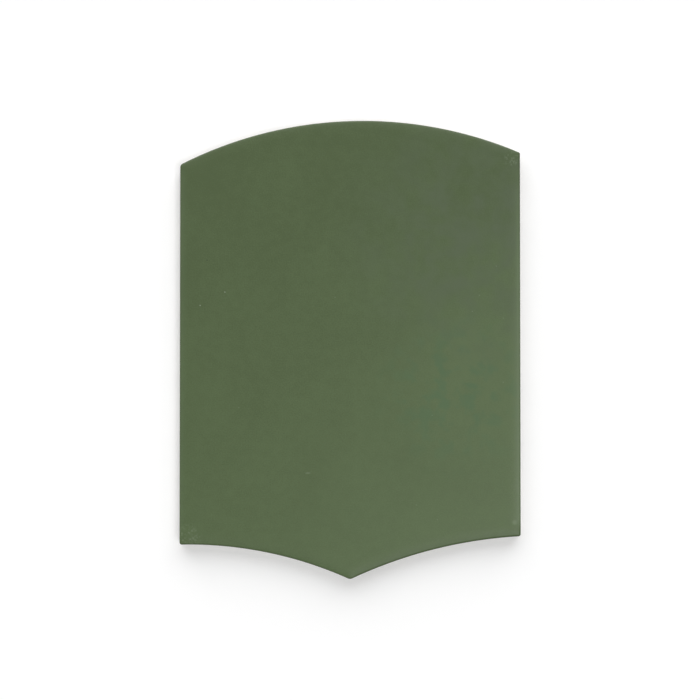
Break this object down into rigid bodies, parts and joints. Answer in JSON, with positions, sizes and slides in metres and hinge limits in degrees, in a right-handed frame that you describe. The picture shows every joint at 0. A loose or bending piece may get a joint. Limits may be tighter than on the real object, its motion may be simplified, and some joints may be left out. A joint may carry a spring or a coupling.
{
  "type": "porcelain tile",
  "caption": "Shield-shaped glazed porcelain tile with an arched crown, straight sides and two hollow tail curves meeting in a point.",
  "frame": {"origin": "middle of the tile's plan box, on the plane of the back's rim and ribs, which the tile rests on", "axes": "+X to the right side of the face, +Y towards the arched crown, +Z out of the glazed face"},
  "size_m": [0.15, 0.2018, 0.009],
  "materials": {
    "green_glaze": "satin"
  },
  "bodies": {
    "root": {"tile": "green_glaze"}
  },
  "joints": []
}
